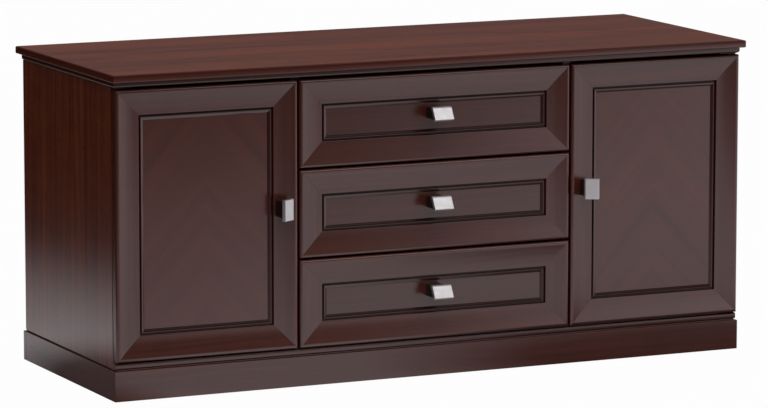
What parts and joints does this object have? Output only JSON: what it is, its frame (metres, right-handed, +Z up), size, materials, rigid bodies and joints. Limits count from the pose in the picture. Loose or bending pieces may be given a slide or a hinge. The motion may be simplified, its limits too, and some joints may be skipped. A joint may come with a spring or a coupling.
{
  "type": "office credenza",
  "caption": "Long low office cabinet with a framed panel door at each end, a stack of drawers between them, slanted satin pulls, overhanging top and recessed-line plinth.",
  "frame": {"origin": "centre of the bounding box at floor level, pulls included", "axes": "+X along the cabinet to its right end, +Y to the back, +Z up"},
  "size_m": [1.644, 0.664, 0.76],
  "materials": {
    "top_veneer": "semi-gloss lacquered mahogany veneer",
    "front_mahogany": "semi-gloss lacquered mahogany, grain along each member",
    "door_veneer": "semi-gloss lacquered mahogany veneer, book matched to a centre seam",
    "drawer_veneer": "semi-gloss lacquered mahogany veneer, grain along the drawer",
    "case_mahogany": "semi-gloss lacquered mahogany veneer",
    "base_mahogany": "semi-gloss lacquered mahogany",
    "back_veneer": "satin mahogany veneer",
    "drawer_box_wood": "clear satin lacquered hardwood",
    "block_wood": "bare softwood",
    "satin_nickel": "satin nickel plate",
    "dark_bronze": "dark bronze lacquer",
    "hardware_steel": "zinc-plated steel",
    "runner_steel": "cold-rolled zinc-plated steel",
    "glide_plastic": "matt black nylon",
    "bumper_rubber": "translucent grey soft pad"
  },
  "bodies": {
    "cabinet": {"back_panel": "back_veneer", "base_rail": "base_mahogany", "bumpers": "bumper_rubber", "cabinet_runners": "runner_steel", "carcass_floor": "case_mahogany", "door_pivots": "dark_bronze", "glide_blocks": "block_wood", "left_side": "case_mahogany", "levelling_glides": "glide_plastic", "partitions": "case_mahogany", "plinth_ends": "base_mahogany", "plinth_rails": "base_mahogany", "reveal_strips": "base_mahogany", "right_side": "case_mahogany", "shelf_pins": "hardware_steel", "shelves": "case_mahogany", "sub_top": "case_mahogany", "top_panel": "top_veneer", "top_screws": "hardware_steel"},
    "left_door": {"left_door_beads": "front_mahogany", "left_door_frame": "front_mahogany", "left_door_knob": "satin_nickel", "left_door_knob_neck": "dark_bronze", "left_door_knob_screws": "hardware_steel", "left_door_panel": "door_veneer", "left_door_pivot_leaves": "dark_bronze"},
    "right_door": {"right_door_beads": "front_mahogany", "right_door_frame": "front_mahogany", "right_door_knob": "satin_nickel", "right_door_knob_neck": "dark_bronze", "right_door_knob_screws": "hardware_steel", "right_door_panel": "door_veneer", "right_door_pivot_leaves": "dark_bronze"},
    "top_drawer": {"top_drawer_beads": "front_mahogany", "top_drawer_box": "drawer_box_wood", "top_drawer_frame": "front_mahogany", "top_drawer_knob": "satin_nickel", "top_drawer_knob_neck": "dark_bronze", "top_drawer_knob_screws": "hardware_steel", "top_drawer_panel": "drawer_veneer", "top_drawer_runners": "runner_steel"},
    "middle_drawer": {"middle_drawer_beads": "front_mahogany", "middle_drawer_box": "drawer_box_wood", "middle_drawer_frame": "front_mahogany", "middle_drawer_knob": "satin_nickel", "middle_drawer_knob_neck": "dark_bronze", "middle_drawer_knob_screws": "hardware_steel", "middle_drawer_panel": "drawer_veneer", "middle_drawer_runners": "runner_steel"},
    "bottom_drawer": {"bottom_drawer_beads": "front_mahogany", "bottom_drawer_box": "drawer_box_wood", "bottom_drawer_frame": "front_mahogany", "bottom_drawer_knob": "satin_nickel", "bottom_drawer_knob_neck": "dark_bronze", "bottom_drawer_knob_screws": "hardware_steel", "bottom_drawer_panel": "drawer_veneer", "bottom_drawer_runners": "runner_steel"},
    "top_mid_runners": {"top_drawer_mid_runners": "runner_steel"},
    "middle_mid_runners": {"middle_drawer_mid_runners": "runner_steel"},
    "bottom_mid_runners": {"bottom_drawer_mid_runners": "runner_steel"}
  },
  "joints": [
    {"name": "left_door_swing", "type": "hinge", "parent": "cabinet", "child": "left_door", "pos_m": [-0.808, -0.26855, 0.40795], "axis": [0, 0, -1], "range_deg": [0, 105]},
    {"name": "right_door_swing", "type": "hinge", "parent": "cabinet", "child": "right_door", "pos_m": [0.808, -0.26855, 0.40795], "axis": [0, 0, 1], "range_deg": [0, 105]},
    {"name": "top_drawer_slide", "type": "slide", "parent": "cabinet", "child": "top_drawer", "axis": [0, -1, 0], "range_m": [0, 0.42]},
    {"name": "middle_drawer_slide", "type": "slide", "parent": "cabinet", "child": "middle_drawer", "axis": [0, -1, 0], "range_m": [0, 0.42]},
    {"name": "bottom_drawer_slide", "type": "slide", "parent": "cabinet", "child": "bottom_drawer", "axis": [0, -1, 0], "range_m": [0, 0.42]},
    {"name": "top_drawer_mid_slide", "type": "slide", "parent": "cabinet", "child": "top_mid_runners", "axis": [0, -1, 0], "range_m": [0, 0.21]},
    {"name": "middle_drawer_mid_slide", "type": "slide", "parent": "cabinet", "child": "middle_mid_runners", "axis": [0, -1, 0], "range_m": [0, 0.21]},
    {"name": "bottom_drawer_mid_slide", "type": "slide", "parent": "cabinet", "child": "bottom_mid_runners", "axis": [0, -1, 0], "range_m": [0, 0.21]}
  ],
  "couplings": [
    {"joint": "top_drawer_mid_slide", "follows": "top_drawer_slide", "ratio": 0.5},
    {"joint": "middle_drawer_mid_slide", "follows": "middle_drawer_slide", "ratio": 0.5},
    {"joint": "bottom_drawer_mid_slide", "follows": "bottom_drawer_slide", "ratio": 0.5}
  ]
}
